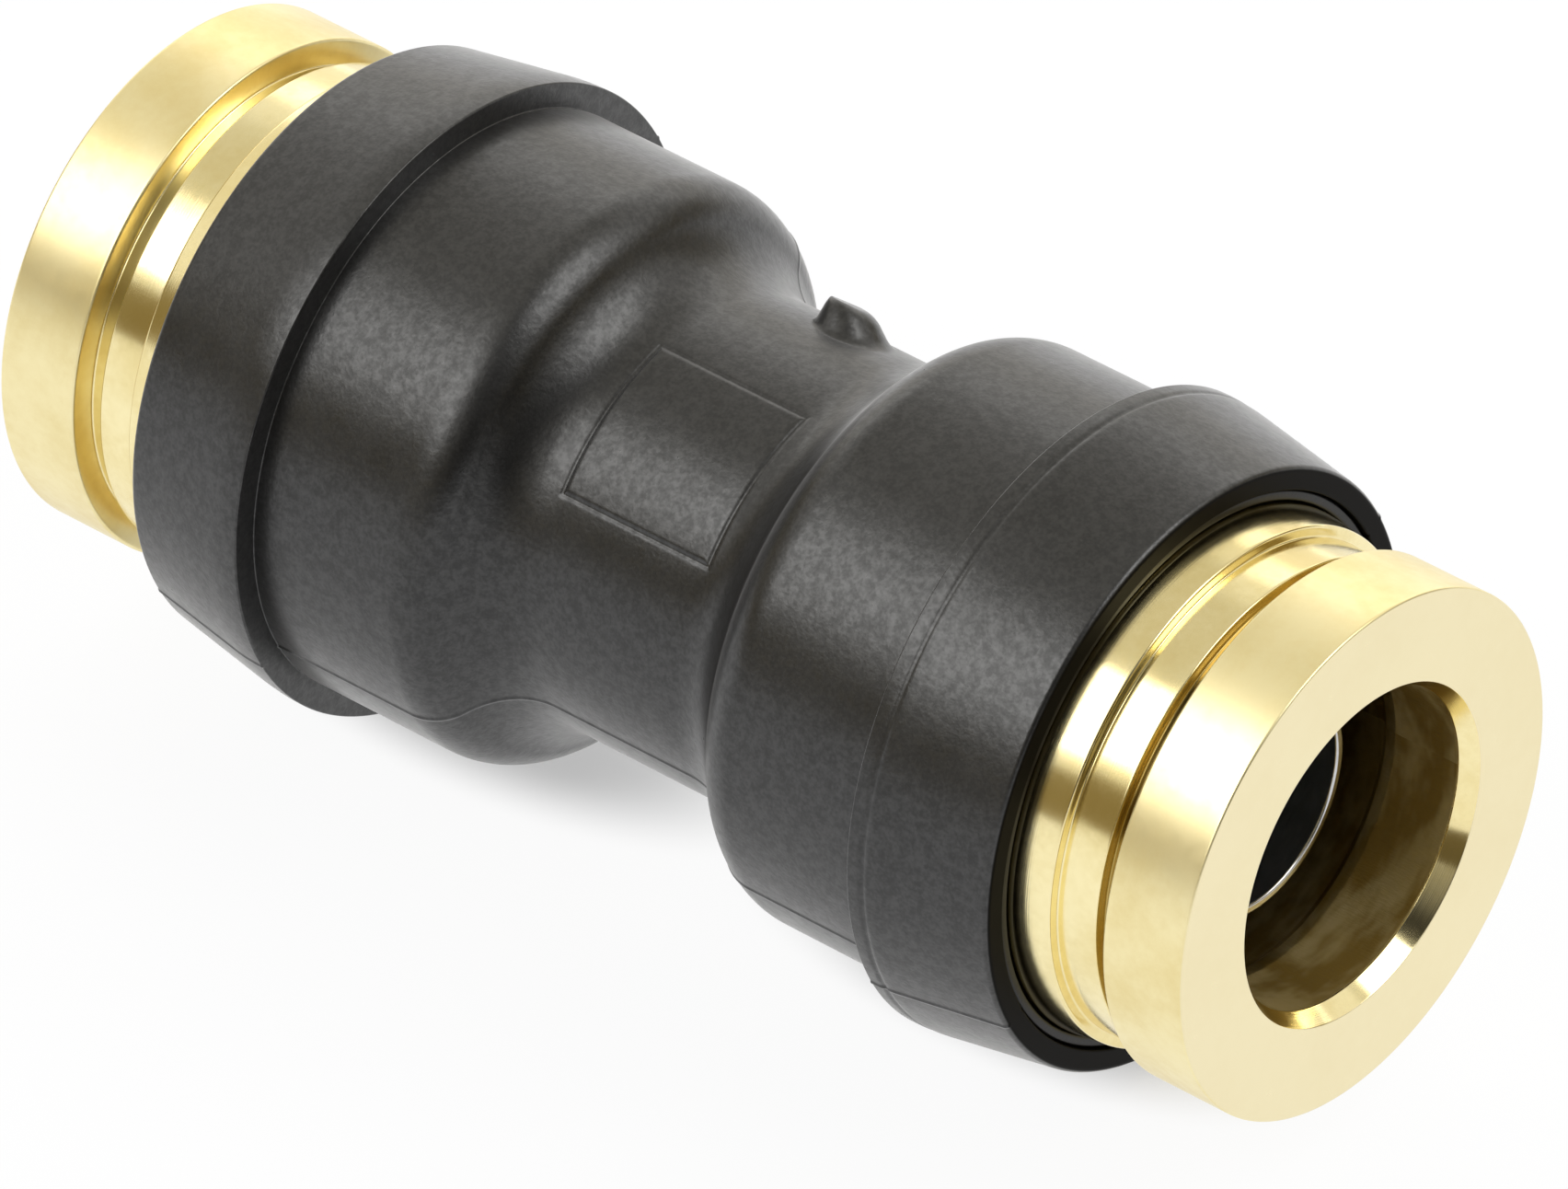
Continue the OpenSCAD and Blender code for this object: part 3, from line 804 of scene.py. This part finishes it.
def wiperLoop(wiper):
    low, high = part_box("wiper_ring_right")
    backX, frontX, outR = low.x / mm, high.x / mm, high.z / mm
    inR, lip = outR - wiper["thick"], wiper["lip"]
    start = ((backX + frontX) / 2, outR, 0)
    corners = [
        start,
        (frontX, outR, lip),
        (frontX, inR, lip),
        (backX, inR, lip),
        (backX, outR, wiper["backEdge"]),
        start,
    ]
    return spaced(rounded(corners, wiper["arcSteps"]), wiper["spacing"])[:-1]


rubber = {
    "deep": (0.006, 0.0055, 0.005),
    "bloom": (0.014, 0.012, 0.010),
    "tone": (0.35, 0.75),  # of the clouds, from deep to bloom
    "rough": 0.3,
    "bloomRough": 0.12,
    "shine": 0.25,
    "cloud": (2.5, 3),  # how many in a mm, and the noise's detail
    "grain": (9, 2),
    "bump": (0.15, 0.02),
}


def rubberFinish(rubber):
    material, tree = newFinish("blackRubber")
    at = tree.places()
    bloom = tree.noise(at.point, *rubber["cloud"])
    colour = tree.mix(bloom.step(*rubber["tone"]), rubber["deep"], rubber["bloom"])
    normal = tree.bump(tree.noise(at.point, *rubber["grain"]), *rubber["bump"])
    tree.finish(tree.node("ShaderNodeBsdfPrincipled", None, {
        "Base Color": colour, "Roughness": rubber["rough"] + bloom * rubber["bloomRough"],
        "Specular IOR Level": rubber["shine"], "Normal": normal,
    }))
    return material


blackRubber = rubberFinish(rubber)
for side, sign in sides.items():
    mesh = sweepLoop("wiperRing_" + side, wiperLoop(wiper), sign, wiper["clockSteps"])
    addPiece("wiperRing_" + side, mesh, blackRubber, "coupling_body", "black_rubber", "wiper_ring_" + side)
print("wipers fitted")


# Steel tube supports
support = {
    "outR": 2.9, "inR": 2.65, "headX": 1.6, "rim": 0.08, "headEdge": 0.06, "spacing": 0.8, "clockSteps": 192,
}


def supportLoop(support):
    low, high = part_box("tube_support_right")
    backX, frontX, headR = low.x / mm, high.x / mm, high.z / mm
    start = (frontX / 2, support["outR"], 0)
    corners = [
        start,
        (frontX, support["outR"], support["rim"]),
        (frontX, support["inR"], support["rim"]),
        (backX, support["inR"], support["rim"]),
        (backX, headR, support["headEdge"]),
        (support["headX"], headR, support["headEdge"]),
        (support["headX"], support["outR"], support["rim"]),
        start,
    ]
    return spaced(rounded(corners), support["spacing"])[:-1]


steels = {
    "brightSteel": {"base": (0.66, 0.665, 0.67), "rough": 0.24, "lines": 9},  # drawn lines in a mm
    "springSteel": {"base": (0.5, 0.505, 0.51), "rough": 0.3, "lines": 16},
}
drawnSteel = {  # what both steels share
    "around": 6, "lineNoise": (1.0, 3, 0.6), "lineRough": 0.14, "bump": (0.12, 0.02),
    "smear": (1.8, 3), "smearStep": (0.3, 0.75), "smearDark": 0.86,
}


def steelFinish(name, steel, drawnSteel):
    material, tree = newFinish(name)
    at, lines = tree.places(), steel["lines"]
    where = tree.vector(abs(at.x) * lines, at.clock * drawnSteel["around"], at.radius * lines)
    drawn = tree.noise(where, *drawnSteel["lineNoise"])
    smear = tree.noise(at.point, *drawnSteel["smear"]).step(*drawnSteel["smearStep"])
    colour = tree.mix(smear, steel["base"], tuple(drawnSteel["smearDark"] * c for c in steel["base"]))
    rough = steel["rough"] + (drawn - 0.5) * drawnSteel["lineRough"]
    normal = tree.bump(drawn, *drawnSteel["bump"])
    tree.finish(tree.node("ShaderNodeBsdfPrincipled", None, {
        "Base Color": colour, "Metallic": 1.0, "Roughness": rough, "Normal": normal,
    }))
    return material


brightSteel, springSteel = [steelFinish(name, steel, drawnSteel) for name, steel in steels.items()]
for side, sign in sides.items():
    mesh = sweepLoop("tubeSupport_" + side, supportLoop(support), sign, support["clockSteps"])
    node = "tube_support_" + side
    addPiece("tubeSupport_" + side, mesh, brightSteel, "coupling_body", "bright_steel", node)
print("supports fitted")


# Return springs: wave washers
spring = {
    "inR": 5.4, "outR": 6.6, "thick": 0.25, "edge": 0.05, "waves": 3,
    "arcSteps": 3, "spacing": 0.3, "clockSteps": 180,
}


def springLoop(spring):  # the strip's section, with its first face at x = 0
    inR, outR, thick, edge = spring["inR"], spring["outR"], spring["thick"], spring["edge"]
    start = (0, (inR + outR) / 2, 0)
    corners = [start, (0, outR, edge), (thick, outR, edge), (thick, inR, edge), (0, inR, edge), start]
    return spaced(rounded(corners, spring["arcSteps"]), spring["spacing"])[:-1]


def makeSpring(spring, side, sign):
    low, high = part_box("return_spring_" + side)
    clocks = np.linspace(0, 2 * math.pi, spring["clockSteps"], endpoint=False)[None, :]
    outline = np.array(springLoop(spring))
    swing = (high.x - low.x) / mm - spring["thick"]
    first = min(abs(low.x), abs(high.x)) / mm
    wave = first + swing * (1 - np.cos(spring["waves"] * clocks)) / 2
    x = (outline[:, :1] + wave) * sign
    r = outline[:, 1:] * np.ones_like(clocks)
    order = slice(None, None, -1) if sign > 0 else slice(None)
    mesh = turnedMesh("returnSpring_" + side, x[order], r[order], clocks)
    node = "return_spring_" + side
    piece = addPiece("returnSpring_" + side, mesh, springSteel, "coupling_body", "spring_steel", node)
    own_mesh(piece)


for side, sign in sides.items():
    makeSpring(spring, side, sign)
print("springs fitted")


# Pieces that keep their CAD shape
acetal = {
    "pale": (0.76, 0.74, 0.68),
    "warm": (0.68, 0.655, 0.59),
    "tone": (0.3, 0.7),  # of the clouds, from pale to warm
    "rough": 0.36,
    "cloudRough": 0.12,
    "cloud": (1.2, 3),  # how many in a mm, and the noise's detail
    "grain": (8, 2),
    "bump": (0.1, 0.02),
}


def acetalFinish(acetal):
    material, tree = newFinish("whiteAcetal")
    at = tree.places()
    cloud = tree.noise(at.point, *acetal["cloud"])
    colour = tree.mix(cloud.step(*acetal["tone"]), acetal["pale"], acetal["warm"])
    normal = tree.bump(tree.noise(at.point, *acetal["grain"]), *acetal["bump"])
    rough = acetal["rough"] + cloud * acetal["cloudRough"]
    tree.finish(tree.node("ShaderNodeBsdfPrincipled", None, {
        "Base Color": colour, "Roughness": rough, "Normal": normal,
    }))
    return material


innerFinishes = {
    "retainer": brassFinish("retainerBrass", brass, sleeve, 0),
    "snap_ring": springSteel,
    "grab_ring": brightSteel,
    "tooth_guard": acetalFinish(acetal),
    "tube_seal": blackRubber,
}
for kind, finish in innerFinishes.items():
    for side in sides:
        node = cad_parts[kind + "_" + side]
        for i in range(len(node.data.materials)):
            node.data.materials[i] = finish
print("inner pieces finished")
